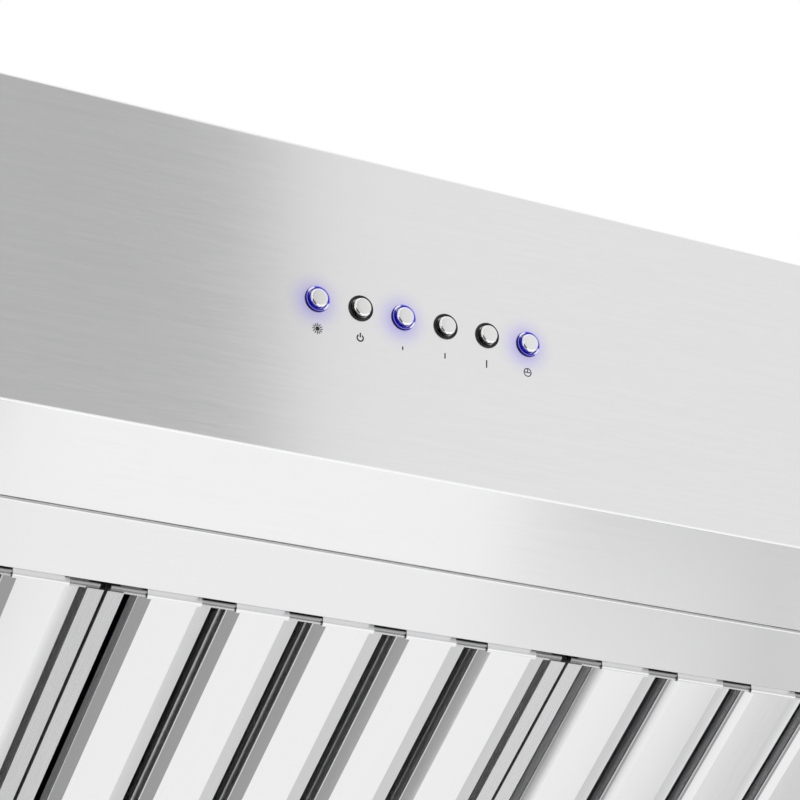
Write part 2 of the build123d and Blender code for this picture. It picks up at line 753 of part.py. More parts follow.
def main():
    os.makedirs("parts", exist_ok=True)
    export("front_fascia", front_fascia())
    export("side_panel_left", side_panel(-1))
    export("side_panel_right", side_panel(1))
    export("back_panel", back_panel())
    export("top_deck", top_deck())
    export("underside_pan", underside_pan())
    export("catch_magnets", *catch_magnets())

    frame = filter_frame()
    lower = [lower_baffle(x, abs(x) < 1) for x in baffle_xs]
    upper = [upper_baffle(x + baffle_pitch / 2) for x in baffle_xs[:-1]]
    for name, x in zip(("left", "middle", "right"), filter_xs):
        export(f"filter_frame_{name}", Pos(x, 0, 0) * frame)
        export(f"lower_baffles_{name}", *[Pos(x, 0, 0) * b for b in lower])
        export(f"upper_baffles_{name}", *[Pos(x, 0, 0) * b for b in upper])

    ring, cap, switch = button_ring(), button_cap(), key_switch()
    lit = [x for name, x in zip(button_names, button_xs) if name in lit_buttons]
    dark = [x for x in button_xs if x not in lit]
    export("button_rings_lit", *[panel * Pos(x, 0, 0) * ring for x in lit])
    export("button_rings_dark", *[panel * Pos(x, 0, 0) * ring for x in dark])
    for name, x in zip(button_names, button_xs):
        export(f"button_{name}", panel * Pos(x, 0, 0) * cap)
    export("key_switches", *[panel * Pos(x, 0, 0) * switch for x in button_xs])
    export("control_board", control_board())
    export("control_housing", control_housing())

    lamp_xs = (-lamp_offset, lamp_offset)
    export("lamp_bezels", *[lamp_bezel(x) for x in lamp_xs])
    export("lamp_lenses", *[lamp_lens(x) for x in lamp_xs])
    export("lamp_heatsinks", *[lamp_heatsink(x) for x in lamp_xs])

    export("blower_box", blower_box())
    export("blower_box_lid", blower_box_lid())
    export("scroll_wrap", scroll_wrap())
    export("scroll_side_left", scroll_side(-1))
    export("scroll_side_right", scroll_side(1))
    export("impeller", impeller())
    export("motor_shaft", motor_shaft())
    export("motor_body", motor_body())
    export("motor_bracket", motor_bracket())
    export("capacitor", capacitor())

    export("duct_transition", duct_transition())
    export("duct_collar", duct_collar())
    export("damper_flap_front", damper_flap(-1))
    export("damper_flap_rear", damper_flap(1))

    export("junction_box", junction_box())
    export("junction_box_cover", junction_box_cover())
    export("conduit_bushing", conduit_bushing())
    export("terminal_block", terminal_block())
    export("power_module", power_module())


main()
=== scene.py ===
import bmesh
import bpy
from math import atan2, cos, pi, radians, sin, tan
from mathutils import Matrix, Vector


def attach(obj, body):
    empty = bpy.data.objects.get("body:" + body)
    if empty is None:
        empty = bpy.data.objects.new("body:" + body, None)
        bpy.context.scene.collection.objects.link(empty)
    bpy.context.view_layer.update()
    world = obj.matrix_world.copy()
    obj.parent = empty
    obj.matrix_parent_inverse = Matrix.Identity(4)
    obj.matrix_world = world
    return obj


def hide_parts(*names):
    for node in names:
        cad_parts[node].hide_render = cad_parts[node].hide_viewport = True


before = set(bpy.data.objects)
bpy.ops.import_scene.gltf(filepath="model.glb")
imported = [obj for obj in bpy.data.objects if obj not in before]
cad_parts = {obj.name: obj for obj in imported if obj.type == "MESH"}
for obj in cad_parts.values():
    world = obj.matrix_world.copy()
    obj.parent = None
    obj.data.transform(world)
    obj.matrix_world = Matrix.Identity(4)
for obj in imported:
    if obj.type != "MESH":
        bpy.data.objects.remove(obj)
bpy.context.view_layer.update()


# ---------------------------------------------------------------- the view
# The cook's view, from below the hood and from its left, up at the sloped
# control fascia. The lens is long, so that the lines of the sheet converge
# only a little, and the camera is tilted about its own axis.
eye = Vector((-0.6300, -0.8393, -1.0638))
target = Vector((-0.0134, -0.2009, 0.0310))
up = Vector((-0.17631, -0.80391, 0.56801))

camera_data = bpy.data.cameras.new("camera")
camera_data.lens = 123.44
camera_data.sensor_width = 36
camera_data.clip_end = 100
camera = bpy.data.objects.new("camera", camera_data)
back = (eye - target).normalized()
right = up.cross(back).normalized()
camera.matrix_world = Matrix.Translation(eye) @ Matrix((right, back.cross(right), back)).transposed().to_4x4()
bpy.context.scene.collection.objects.link(camera)
bpy.context.scene.camera = camera
bpy.context.scene.view_settings.view_transform = "Standard"


# ---------------------------------------------------------------- the room
# A white studio with a pale floor far below. Only gloss sees the cards that
# give the steel its tones: two tall ones before the fascia, a dark one behind
# the lens and four on the floor. Gloss sees the sky greyer at rear and sides.
floor_height = -1.6
floor_half = 9.0
floor_paint = 0.86
floor_white = 0.82             # share of plain white in the floor that is seen
sky_on_things = 0.7            # the light that the sky throws, where 1 is its looks
sky_rear = ((0.1, 0.9), (1.0, 0.55))      # spans of a ray's way back, and of the tone it meets
sky_side = ((0.5, 1.0), (1.0, 0.6))
card_distance = 3.0
card_tall = 3.4
pale_card_turn = radians(14)
grey_card_turn = radians(20.6)            # its right edge, to the right of straight ahead
grey_card_tilt = radians(18)
dark_card_side = 1.05
floor_cards = (
    ("dark_floor_card", 0.36, (-4.0, 0.32), (0.2, 3.0)),
    ("side_floor_card", 0.66, (1.55, 4.0), (0.9, 3.2)),
    ("soft_floor_card", 0.56, (1.07, 1.55), (0.1, 0.86)),
    ("bright_floor_card", 1.12, (-0.6, 3.0), (-0.75, 0.1)),
)
lamps = (
    ("high_lamp", 60, 2.0, (-1.5, -1.8, 2.2)),
    ("low_lamp", 26, 1.6, (-1.2, -2.2, -1.2)),
    ("rear_lamp", 30, 2.0, (1.8, 2.0, 1.8)),
)


def grey(value):
    return (value, value, value, 1)


def fill_inputs(tree, made, inputs):
    """Sets a node's inputs. Each is a plain value, or another node's output to link."""
    for name, value in inputs.items():
        if isinstance(value, bpy.types.NodeSocket):
            tree.links.new(value, made.inputs[name])
        else:
            made.inputs[name].default_value = value


def node(tree, kind, inputs=None, **attributes):
    made = tree.nodes.new("ShaderNode" + kind)
    for name, value in attributes.items():
        setattr(made, name, value)
    fill_inputs(tree, made, inputs or {})
    return made


def calculate(tree, operation, *values):
    return node(tree, "Math", dict(enumerate(values)), operation=operation).outputs[0]


def remap(tree, value, span=(0, 1), to=(0, 1)):
    """Maps a span of a value to another, and holds it at the ends."""
    inputs = {"Value": value, "From Min": span[0], "From Max": span[1], "To Min": to[0], "To Max": to[1]}
    return node(tree, "MapRange", inputs).outputs[0]


def bare_material(name):
    material = bpy.data.materials.new(name)
    material.use_nodes = True
    material.node_tree.nodes.clear()
    return material, material.node_tree


def surface(tree, inputs, kind="BsdfPrincipled"):
    """The material's own shader."""
    shader = node(tree, kind, inputs)
    node(tree, "OutputMaterial", {"Surface": shader.outputs[0]})


def seen_directly(tree):
    """1 for rays from the camera, from gloss and through glass, and 0 for light that falls on things."""
    path = node(tree, "LightPath").outputs
    seen = calculate(tree, "MAXIMUM", path["Is Camera Ray"], path["Is Glossy Ray"])
    return calculate(tree, "MAXIMUM", seen, path["Is Transmission Ray"])


world = bpy.data.worlds.new("white studio")
world.use_nodes = True
sky = world.node_tree
sky.nodes.clear()
strength = remap(sky, seen_directly(sky), to=(sky_on_things, 1))
way = node(sky, "SeparateXYZ", {"Vector": node(sky, "TexCoord").outputs["Generated"]}).outputs
rear_tone = remap(sky, way["Y"], *sky_rear)
side_tone = remap(sky, calculate(sky, "ABSOLUTE", way["X"]), *sky_side)
tone = calculate(sky, "MULTIPLY", rear_tone, side_tone)
in_gloss = node(sky, "LightPath").outputs["Is Glossy Ray"]
gloss_tone = node(sky, "Mix", {"Factor": in_gloss, 2: 1.0, 3: tone}, data_type="FLOAT").outputs[0]
toned = calculate(sky, "MULTIPLY", strength, gloss_tone)
sky_light = node(sky, "Background", {"Color": grey(1), "Strength": toned})
node(sky, "OutputWorld", {"Surface": sky_light.outputs[0]})
bpy.context.scene.world = world


def stage_plane(name, width, depth, place, material):
    x, y = width / 2, depth / 2
    mesh = bpy.data.meshes.new(name)
    mesh.from_pydata([(-x, -y, 0), (x, -y, 0), (x, y, 0), (-x, y, 0)], [], [(0, 1, 2, 3)])
    mesh.materials.append(material)
    plane = bpy.data.objects.new(name, mesh)
    plane.matrix_world = place
    bpy.context.scene.collection.objects.link(plane)
    return plane


floor_material, tree = bare_material("pale floor")
paint = node(tree, "BsdfDiffuse", {"Color": grey(floor_paint)})
white = node(tree, "Emission", {"Color": grey(1), "Strength": 1.0})
white_share = calculate(tree, "MULTIPLY", seen_directly(tree), floor_white)
seen = node(tree, "MixShader", {0: white_share, 1: paint.outputs[0], 2: white.outputs[0]})
from_below = node(tree, "NewGeometry").outputs["Backfacing"]
clear = node(tree, "BsdfTransparent")
surface(tree, {0: from_below, 1: seen.outputs[0], 2: clear.outputs[0]}, "MixShader")
floor_place = Matrix.Translation((0, 0, floor_height))
stage_plane("floor", 2 * floor_half, 2 * floor_half, floor_place, floor_material)


def gloss_card(name, tone, width, depth, place):
    """A card that only gloss shows."""
    card_material, tree = bare_material(name.replace("_", " "))
    surface(tree, {"Color": grey(tone), "Strength": 1.0}, "Emission")
    card = stage_plane(name, width, depth, place, card_material)
    card.visible_camera = False
    card.visible_diffuse = False
    card.visible_shadow = False
    card.visible_transmission = False


upright = Matrix.Rotation(radians(90), 4, "X")
aside = Matrix.Rotation(pale_card_turn, 4, "Z")
place = aside @ Matrix.Translation((0, -card_distance, -0.3)) @ upright
gloss_card("pale_card", 0.82, 5.0, card_tall, place)
aside = Matrix.Rotation(grey_card_turn, 4, "Z")
tilted = Matrix.Rotation(grey_card_tilt, 4, "Z") @ Matrix.Translation((-1.5, 0, 0))
place = aside @ Matrix.Translation((0, -0.95 * card_distance, -0.62)) @ upright @ tilted
gloss_card("grey_card", 0.46, 3.0, card_tall, place)
place = Matrix.Translation(eye + 0.1 * back) @ camera.matrix_world.to_3x3().to_4x4()
gloss_card("dark_card", 0.03, dark_card_side, dark_card_side, place)
for name, tone, (x0, x1), (y0, y1) in floor_cards:
    place = Matrix.Translation(((x0 + x1) / 2, (y0 + y1) / 2, floor_height + 0.01))
    gloss_card(name, tone, x1 - x0, y1 - y0, place)
for name, watts, size, place in lamps:
    lamp_data = bpy.data.lights.new(name, "AREA")
    lamp_data.energy = watts
    lamp_data.size = size
    lamp = bpy.data.objects.new(name, lamp_data)
    facing_hood = (-Vector(place)).to_track_quat("-Z", "Y").to_matrix().to_4x4()
    lamp.matrix_world = Matrix.Translation(place) @ facing_hood
    lamp.visible_glossy = False
    bpy.context.scene.collection.objects.link(lamp)


# ---------------------------------------------------------------- body sheets
# The fascia, the sides, the back and the underside pan are 1.2 mm stainless
# sheet, brushed along its length. Each is cut, folded on a brake and hooked
# or welded to its neighbours, and a painted blue light round each lit button
# is mixed into the fascia's colour.
mm = 0.001                     # the frame is in metres
steel = (0.92, 0.92, 0.925, 1)
painted_halo_blue = (0.66, 0.62, 0.97, 1)
halo_start, halo_reach = 6.5, 19.0        # from a lit ring's middle
stroke_length = 70.0           # scale of the strokes along themselves
stroke_contrast = (0.35, 0.65)
fascia_lean = radians(37.9)
fascia_foot = -176.74          # lower bend, from the middle of the body
button_row = 84.9              # above the lower bend, along the fascia
button_xs = [(i - 2.5) * 25.0 for i in range(6)]
lit_buttons = (0, 2, 5)
halo_shift = -1.5              # a halo's middle, left of and under its ring's
panel = Matrix((
    (1, 0, 0, 0),
    (0, -sin(fascia_lean), -cos(fascia_lean), (fascia_foot - button_row * sin(fascia_lean)) * mm),
    (0, cos(fascia_lean), -sin(fascia_lean), button_row * cos(fascia_lean) * mm),
    (0, 0, 0, 1),
))


def spot(x, y, z):
    return Matrix.Translation((x * mm, y * mm, z * mm))


def own_place(tree):
    """Where a point is in its own piece, in metres."""
    return node(tree, "TexCoord").outputs["Object"]


def noise(tree, place, scale, detail=2.0):
    return node(tree, "TexNoise", {"Vector": place, "Scale": scale, "Detail": detail}).outputs["Fac"]


def blend(tree, share, first, second):
    return node(tree, "Mix", {"Factor": share, 6: first, 7: second}, data_type="RGBA").outputs[2]


def bumped(tree, height, strength, distance):
    """A normal from a height. The distance is in millimetres."""
    return node(tree, "Bump", {"Height": height, "Strength": strength, "Distance": distance * mm}).outputs[0]


def effect_group(name, inputs, outputs):
    """An empty group with named sockets. Returns it, its given values and its output node."""
    group = bpy.data.node_groups.new(name, "ShaderNodeTree")
    for socket, kind, value in inputs:
        made = group.interface.new_socket(socket, in_out="INPUT", socket_type="NodeSocket" + kind)
        made.default_value = value
    for socket, kind in outputs:
        group.interface.new_socket(socket, in_out="OUTPUT", socket_type="NodeSocket" + kind)
    return group, group.nodes.new("NodeGroupInput").outputs, group.nodes.new("NodeGroupOutput")


def place_group(tree, group, inputs):
    made = tree.nodes.new("ShaderNodeGroup")
    made.node_tree = group
    fill_inputs(tree, made, inputs)
    return made.outputs


grain_group, given, result = effect_group(
    "brushed grain",
    [("Colour", "Color", steel), ("Strokes", "Vector", (20, 900, 900)), ("Depth", "Float", 0.05),
     ("Roughness", "Float", 0.25), ("Spread", "Float", 0.05)],
    [("Colour", "Color"), ("Roughness", "Float"), ("Height", "Float")],
)
place = own_place(grain_group)
stretched = node(grain_group, "VectorMath", {0: place, 1: given["Strokes"]}, operation="MULTIPLY").outputs[0]
short_strokes = noise(grain_group, stretched, 1.0, 4.0)
long_strokes = noise(grain_group, stretched, 0.21)
streaks = node(
    grain_group, "Mix", {"Factor": 0.4, 2: short_strokes, 3: long_strokes}, data_type="FLOAT"
).outputs[0]
darkest = calculate(grain_group, "SUBTRACT", 1.0, given["Depth"])
tone = remap(grain_group, streaks, stroke_contrast, (darkest, 1.0))
shaded = node(grain_group, "VectorMath", {0: given["Colour"], "Scale": tone}, operation="SCALE").outputs[0]
low = calculate(grain_group, "SUBTRACT", given["Roughness"], given["Spread"])
high = calculate(grain_group, "ADD", given["Roughness"], given["Spread"])
rough = remap(grain_group, streaks, stroke_contrast, (low, high))
fill_inputs(grain_group, result, {"Colour": shaded, "Roughness": rough, "Height": streaks})

# Painted light: a blue tint for the steel's colour, which fades with distance from a lit ring.
painted_glow_group, given, result = effect_group(
    "painted blue glow", [("Lamp", "Vector", (0, 0, 0)), ("Reach", "Float", 0.02)], [("Glow", "Float")]
)
place = own_place(painted_glow_group)
apart = node(painted_glow_group, "VectorMath", {0: place, 1: given["Lamp"]}, operation="DISTANCE").outputs["Value"]
fade = remap(painted_glow_group, apart, (halo_start * mm, given["Reach"]), (1.0, 0.0))
fill_inputs(painted_glow_group, result, {"Glow": calculate(painted_glow_group, "POWER", fade, 2.0)})


def brushed(name, along, colour=steel, roughness=0.18, strokes=1700.0, depth=0.026, painted_glows=()):
    """Brushed sheet, whose strokes run along an axis. Glows are the middles of painted blue light on it."""
    material, tree = bare_material(name)
    scales = [stroke_length if value else strokes for value in along]
    grain = place_group(
        tree, grain_group,
        {"Colour": colour, "Strokes": scales, "Depth": depth, "Roughness": roughness,
         "Spread": roughness / 12},
    )
    tint = grain["Colour"]
    # Each painted glow mixes blue light into the base colour.
    for place in painted_glows:
        glow = place_group(tree, painted_glow_group, {"Lamp": place, "Reach": halo_reach * mm})
        tint = blend(tree, glow["Glow"], tint, painted_halo_blue)
    direction = node(tree, "CombineXYZ", dict(enumerate(along))).outputs[0]
    surface(
        tree,
        {"Base Color": tint, "Metallic": 1.0, "Roughness": grain["Roughness"], "Anisotropic": 0.9,
         "Anisotropic Rotation": 0.25, "Tangent": direction,
         "Normal": bumped(tree, grain["Height"], 0.08, 0.1)},
    )
    return material


def dress(material, *names):
    """Gives packed sheets this finish."""
    for name in names:
        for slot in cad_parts[name].material_slots:
            slot.material = material


# Middles of the painted blue halos, by the lit rings.
painted_halo_places = [(panel @ spot(button_xs[i] + halo_shift, halo_shift, 0)).translation[:] for i in lit_buttons]
dress(brushed("brushed fascia", (1, 0, 0), painted_glows=painted_halo_places), "front_fascia")
dress(brushed("brushed pan", (1, 0, 0), colour=(0.88, 0.88, 0.885, 1)), "underside_pan", "back_panel")
dress(brushed("brushed sides", (0, 1, 0)), "side_panel_left", "side_panel_right")


# ---------------------------------------------------------------- button rings
# A moulded ring stands round each button: clear blue and lit from behind on
# three of them, and glossy black on the others. A thin dark lip holds each in
# the fascia, and the crown falls towards the cap.
ring_profile = (
    (5.3, -0.9), (5.3, 0.40), (5.5, 0.52), (6.1, 0.86), (6.45, 1.12), (6.6, 1.16), (6.75, 1.04), (6.92, 0.7),
    (7.02, 0.3), (7.05, 0)
)
# The pale band at 6.5 mm is a painted highlight along the crest of the lit rings.
blue_bands_with_highlight = (
    (5.3, (0.004, 0.003, 0.22)), (5.7, (0.008, 0.006, 0.36)), (6.15, (0.035, 0.025, 0.58)),
    (6.4, (0.08, 0.065, 0.78)), (6.5, (0.50, 0.50, 0.92)), (6.63, (0.05, 0.04, 0.60)),
    (6.76, (0.012, 0.01, 0.2)), (6.88, (0.002, 0.002, 0.02)), (7.1, (0.002, 0.002, 0.015))
)
black_bands = ((5.3, (0.002, 0.002, 0.002)), (6.2, (0.004, 0.004, 0.004)), (7.1, (0.002, 0.002, 0.002)))
painted_glint_angles = (132, -36)        # degrees round the ring, where white glints are painted into its glow
glint_width = (24, 13)          # degrees from a glint's middle, where it begins and where it is full
glint_foot, glint_lip = (5.7, 6.0), (6.85, 6.7)      # and in radius, from inside and from outside
painted_glint_white = (0.80, 0.80, 0.95, 1)


def turned(shape, profile, count=96):
    """Spins a profile of (radius, height) about the Z axis."""
    rings = []
    for radius, height in profile:
        if radius < 1e-6:
            rings.append([shape.verts.new((0, 0, height))])
        else:
            angles = [2 * pi * i / count for i in range(count)]
            rings.append([shape.verts.new((radius * cos(a), radius * sin(a), height)) for a in angles])
    for first, second in zip(rings, rings[1:]):
        for i in range(count):
            j = (i + 1) % count
            near = [first[i % len(first)], first[j % len(first)]]
            far = [second[j % len(second)], second[i % len(second)]]
            corners = list(dict.fromkeys(near + far))
            if len(corners) > 2:
                shape.faces.new(corners)


def add_piece(name, shape, material, body, replaces=(), place=None, sharp=35, bevel=0.0):
    """A mesh drawn in millimetres becomes a piece that rides on a body."""
    bmesh.ops.scale(shape, vec=(mm, mm, mm), verts=shape.verts)
    bmesh.ops.recalc_face_normals(shape, faces=shape.faces)
    mesh = bpy.data.meshes.new(name)
    shape.to_mesh(mesh)
    shape.free()
    mesh.materials.append(material)
    for face in mesh.polygons:
        face.use_smooth = True
    mesh.set_sharp_from_angle(angle=radians(sharp))
    piece = bpy.data.objects.new(name, mesh)
    if place is not None:
        piece.matrix_world = place
    bpy.context.scene.collection.objects.link(piece)
    if bevel:
        rounding = piece.modifiers.new("rounded edges", "BEVEL")
        rounding.width = bevel * mm
        rounding.segments = 2
        rounding.limit_method = "ANGLE"
        rounding.angle_limit = radians(sharp)
    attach(piece, body)
    if replaces:
        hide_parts(*replaces)


def across_axis(tree):
    place = own_place(tree)
    return node(tree, "VectorMath", {0: place, 1: (1, 1, 0)}, operation="MULTIPLY").outputs[0]


def from_axis(tree):
    """How far a point is from its own piece's Z axis, in metres."""
    return node(tree, "VectorMath", {0: across_axis(tree)}, operation="LENGTH").outputs["Value"]


def ring_material(name, bands, gloss, lamps=()):
    """Bands are (radius, colour) from the cap's side out. Lamps are the angles of painted white glints round
    the ring, and if there are any, the ring glows.
    """
    material, tree = bare_material(name)
    inner, outer = bands[0][0], bands[-1][0]
    radius = from_axis(tree)
    ramp = node(tree, "ValToRGB", {"Fac": remap(tree, radius, (inner * mm, outer * mm))})
    steps = ramp.color_ramp.elements
    while len(steps) < len(bands):
        steps.new(0.5)
    for step, (radius_here, colour) in zip(steps, bands):
        step.position = (radius_here - inner) / (outer - inner)
        step.color = (*colour, 1)
    tint = ramp.outputs["Color"]
    spoke = node(tree, "VectorMath", {0: across_axis(tree)}, operation="NORMALIZE").outputs[0]
    # Painted highlights: white glints mixed into the ring's glow at given angles, in a band of radius.
    for angle in lamps:
        toward = (cos(radians(angle)), sin(radians(angle)), 0)
        turn = node(tree, "VectorMath", {0: spoke, 1: toward}, operation="DOT_PRODUCT").outputs["Value"]
        painted_glint_mask = remap(tree, turn, [cos(radians(a)) for a in glint_width])
        for limits in (glint_foot, glint_lip):
            painted_glint_mask = calculate(tree, "MULTIPLY", painted_glint_mask, remap(tree, radius, [r * mm for r in limits]))
        tint = blend(tree, painted_glint_mask, tint, painted_glint_white)
    shine = remap(tree, noise(tree, own_place(tree), 500.0), to=(0.05, 0.12))
    inputs = {"Base Color": tint, "Roughness": shine, "Specular IOR Level": gloss}
    if lamps:
        inputs["Base Color"] = (0.004, 0.004, 0.006, 1)
        inputs["Emission Color"] = tint
        inputs["Emission Strength"] = 1.0
    surface(tree, inputs)
    return material


lit_ring = ring_material("lit blue ring", blue_bands_with_highlight, 0.12, painted_glint_angles)
black_ring = ring_material("glossy black ring", black_bands, 0.35)
for i, x in enumerate(button_xs):
    lit = i in lit_buttons
    shape = bmesh.new()
    turned(shape, ring_profile)
    add_piece(
        f"button_ring_{i + 1}", shape, lit_ring if lit else black_ring, "hood",
        replaces=["button_rings_lit" if lit else "button_rings_dark"],
        place=panel @ spot(x, 0, 0),
    )


# ---------------------------------------------------------------- button caps
# Each cap is turned and chromed, with a satin face and a polished side. Its
# square foot keeps it in the fascia, and a stem reaches the switch behind.
cap_profile = (
    (0, 3.40), (2.0, 3.395), (3.6, 3.375), (4.2, 3.34), (4.62, 3.06), (4.98, 2.42), (5.0, 2.2), (5.0, -1.3),
    (0, -1.3)
)
cap_face = 4.2
cap_foot = 11.0
cap_foot_top, cap_foot_low, cap_stem_low = -1.3, -2.5, -11.3
cap_stem = 4.0
button_names = ("light", "power", "low", "medium", "high", "timer")
turning_pitch = 0.22           # marks that the tool leaves on a turned piece
beyond_rim = 400.0             # a radius that no turned piece reaches


def block(shape, x0, x1, y0, y1, z0, z1):
    """Adds a six-sided block."""
    corners = [shape.verts.new((x, y, z)) for z in (z0, z1) for y in (y0, y1) for x in (x0, x1)]
    for face in ((0, 2, 3, 1), (4, 5, 7, 6), (0, 1, 5, 4), (2, 6, 7, 3), (0, 4, 6, 2), (1, 3, 7, 5)):
        shape.faces.new([corners[i] for i in face])


def satin_chrome(name, face_radius, satin, polish, colour):
    """Chrome with a satin face inside a radius, and polished outside it."""
    material, tree = bare_material(name)
    radius = from_axis(tree)
    roughness = remap(tree, radius, [(face_radius + step) * mm for step in (-0.1, 0.1)], (satin, polish))
    rings = calculate(tree, "MULTIPLY", radius, 2 * pi / (turning_pitch * mm))
    marks = calculate(tree, "SINE", rings)
    surface(
        tree,
        {"Base Color": colour, "Metallic": 1.0, "Roughness": roughness,
         "Normal": bumped(tree, marks, 0.03, 0.02)},
    )
    return material


def turned_metal(name, roughness, colour):
    """Turned metal of one finish."""
    return satin_chrome(name, beyond_rim, roughness, roughness, colour)


cap_chrome = satin_chrome("satin chrome cap", cap_face, 0.26, 0.05, (0.96, 0.96, 0.955, 1))
for name, x in zip(button_names, button_xs):
    shape = bmesh.new()
    turned(shape, cap_profile)
    for side, low, high in ((cap_foot, cap_foot_low, cap_foot_top), (cap_stem, cap_stem_low, cap_foot_low)):
        block(shape, -side / 2, side / 2, -side / 2, side / 2, low, high)
    add_piece(
        f"cap_{name}", shape, cap_chrome, f"button_{name}", replaces=[f"button_{name}"],
        place=panel @ spot(x, 0, 0), sharp=18,
    )


# ---------------------------------------------------------------- printed signs
# Small dark signs are screen printed under the buttons: a lamp, a standby
# sign, three bars that grow with the fan's speed, and a clock.
sign_places = ((0.7, -16.0), (0.2, -16.2), (0.0, -17.0), (0.0, -16.3), (0.0, -16.0), (0.0, -15.9))
ink_height = 0.03


def flat_ring(shape, radius, width, first=0.0, last=360.0, count=48):
    """A printed arc, from one angle to another."""
    inner, outer = radius - width / 2, radius + width / 2
    steps = [radians(first + (last - first) * i / count) for i in range(count + 1)]
    near = [shape.verts.new((inner * cos(a), inner * sin(a), ink_height)) for a in steps]
    far = [shape.verts.new((outer * cos(a), outer * sin(a), ink_height)) for a in steps]
    for i in range(count):
        shape.faces.new((near[i], far[i], far[i + 1], near[i + 1]))


def flat_bar(shape, half, foot, tip, tip_half=None, turn=0.0):
    """A printed bar along Y, which may narrow to its tip and turn about the middle."""
    c, s = cos(radians(turn)), sin(radians(turn))
    narrow = half if tip_half is None else tip_half
    corners = ((-half, foot), (half, foot), (narrow, tip), (-narrow, tip))
    shape.faces.new([shape.verts.new((x * c - y * s, x * s + y * c, ink_height)) for x, y in corners])


def sign_lamp(shape):
    flat_ring(shape, 0.62, 1.24)
    for turn in range(0, 360, 30):
        flat_bar(shape, 0.34, 1.6, 3.1, 0.17, turn)


def sign_standby(shape):
    flat_ring(shape, 1.75, 0.8, 125, 415)
    flat_bar(shape, 0.4, 0.3, 2.8)


def sign_clock(shape):
    flat_ring(shape, 2.15, 0.55)
    flat_bar(shape, 0.26, 0, 2.0)
    flat_bar(shape, 0.26, -2.0, 2.0, turn=90)


def sign_bar(length):
    return lambda shape: flat_bar(shape, 0.38, -length / 2, length / 2)


ink, tree = bare_material("printed ink")
ink_tone = remap(tree, noise(tree, own_place(tree), 4000.0), (0.3, 0.7), (0.006, 0.014))
ink_colour = node(tree, "CombineColor", {0: ink_tone, 1: ink_tone, 2: ink_tone}).outputs[0]
surface(tree, {"Base Color": ink_colour, "Roughness": 0.45})
signs = (sign_lamp, sign_standby, sign_bar(2.0), sign_bar(3.0), sign_bar(4.3), sign_clock)
for name, x, draw, (aside, drop) in zip(button_names, button_xs, signs, sign_places):
    shape = bmesh.new()
    draw(shape)
    add_piece(f"sign_{name}", shape, ink, "hood", place=panel @ spot(x + aside, drop, 0))


# ---------------------------------------------------------------- switches behind the buttons
# Six tact switches stand on a green circuit board, in a moulded black box
# that closes against the back of the fascia.
def moulded(name, colour, roughness=0.45, speckle=0.15, scale=900.0):
    """Moulded plastic with a fine spark-eroded texture."""
    material, tree = bare_material(name)
    place = own_place(tree)
    texture = noise(tree, place, scale, 3.0)
    tone = remap(tree, noise(tree, place, 30.0), to=(1 - speckle, 1 + speckle))
    shaded = node(tree, "VectorMath", {0: colour, "Scale": tone}, operation="SCALE").outputs[0]
    surface(tree, {"Base Color": shaded, "Roughness": roughness, "Normal": bumped(tree, texture, 0.25, 0.1)})
    return material


black_plastic = moulded("black moulded plastic", (0.02, 0.02, 0.022))
dress(black_plastic, "control_housing", "key_switches", "conduit_bushing")
dress(moulded("green circuit board", (0.01, 0.10, 0.03), 0.3), "control_board")


# ---------------------------------------------------------------- seam under the front
# A thin grey bead fills the seam between the fascia's front strip and the pan,
# a little over their edges. Its grey is painted shade for the seam's shaded gap.
seam_rear = -121.14            # the pan's front edge
seam_wide = 0.5
seam_half = 435.0
seam_lap = 0.1                 # bead over the edges beside the seam
bead_low, bead_edge, bead_top = 0.34, 0.42, 1.0
X, Y, Z = range(3)


def drawn_out(shape, section, low, high, axis):
    """Draws a section out along an axis, closed at both ends. Its points hold the other two coordinates."""
    ends = []
    for end in (low, high):
        ends.append([shape.verts.new((*point[:axis], end, *point[axis:])) for point in section])
    for i in range(len(section)):
        j = (i + 1) % len(section)
        shape.faces.new((ends[0][i], ends[0][j], ends[1][j], ends[1][i]))
    shape.faces.new(ends[0])
    shape.faces.new(ends[1][::-1])


# Painted shade: a flat grey that gives the seam its dark line.
painted_seam_shade = moulded("grey painted seam shade", (0.50, 0.50, 0.50), 0.4, 0.08, 300.0)
low, high = seam_rear - seam_wide - seam_lap, seam_rear + seam_lap
bead = [(low, bead_edge), (low + 0.2, bead_low), (high - 0.2, bead_low), (high, bead_edge), (high, bead_top),
        (low, bead_top)]
shape = bmesh.new()
drawn_out(shape, bead, -seam_half, seam_half, X)
add_piece("seam_bead", shape, painted_seam_shade, "hood")


# ---------------------------------------------------------------- baffle filters
# Each filter is a frame of folded sheet with two rows of baffles across it.
# The lower ones are open channels, and each one's flat runs on under the
# frame and folds up over it. The upper ones cover the gaps between them.
filter_xs = (-273.0, 0.0, 273.0)
filter_names = ("left", "middle", "right")
baffle_xs = [(i - 2) * 50.0 for i in range(5)]
baffle_sheet = 0.8
channel_front, channel_rear = -74.04, 230.2
filter_front, filter_rear = -75.84, 232.0
baffle_low = 1.0               # underside of the flats
flat_half = 12.7
left_flank, right_flank = 7.2, 9.4
channel_shift = 1.4            # the wider flank's side stands this far over
flank_rise = 1.8
lip = 8.0
tab_height = 8.0
fold_radius = 0.7              # inside the folds
lip_radius = 1.5               # inside the fold of a channel's left lip
tab_lean = radians(60)         # front ends first rise at this slope
tab_reach = 2.0                # so that they stand this far before the flat
tab_flare = 2.5
upper_half = 13.5
upper_foot, upper_top = 5.0, 18.0
slot_long, slot_wide = 32.0, 17.0
filter_half = 135.5
hem_radius = 1.3               # rolled foot of the frame's front wall
hem_place = (-75.6, 4.2)
hem_inset = 2.0                # from the filter's side
hem_angles = [2 * pi * i / 16 for i in range(16)]
slot_setback = 38.0            # slot's middle from the filter's rear


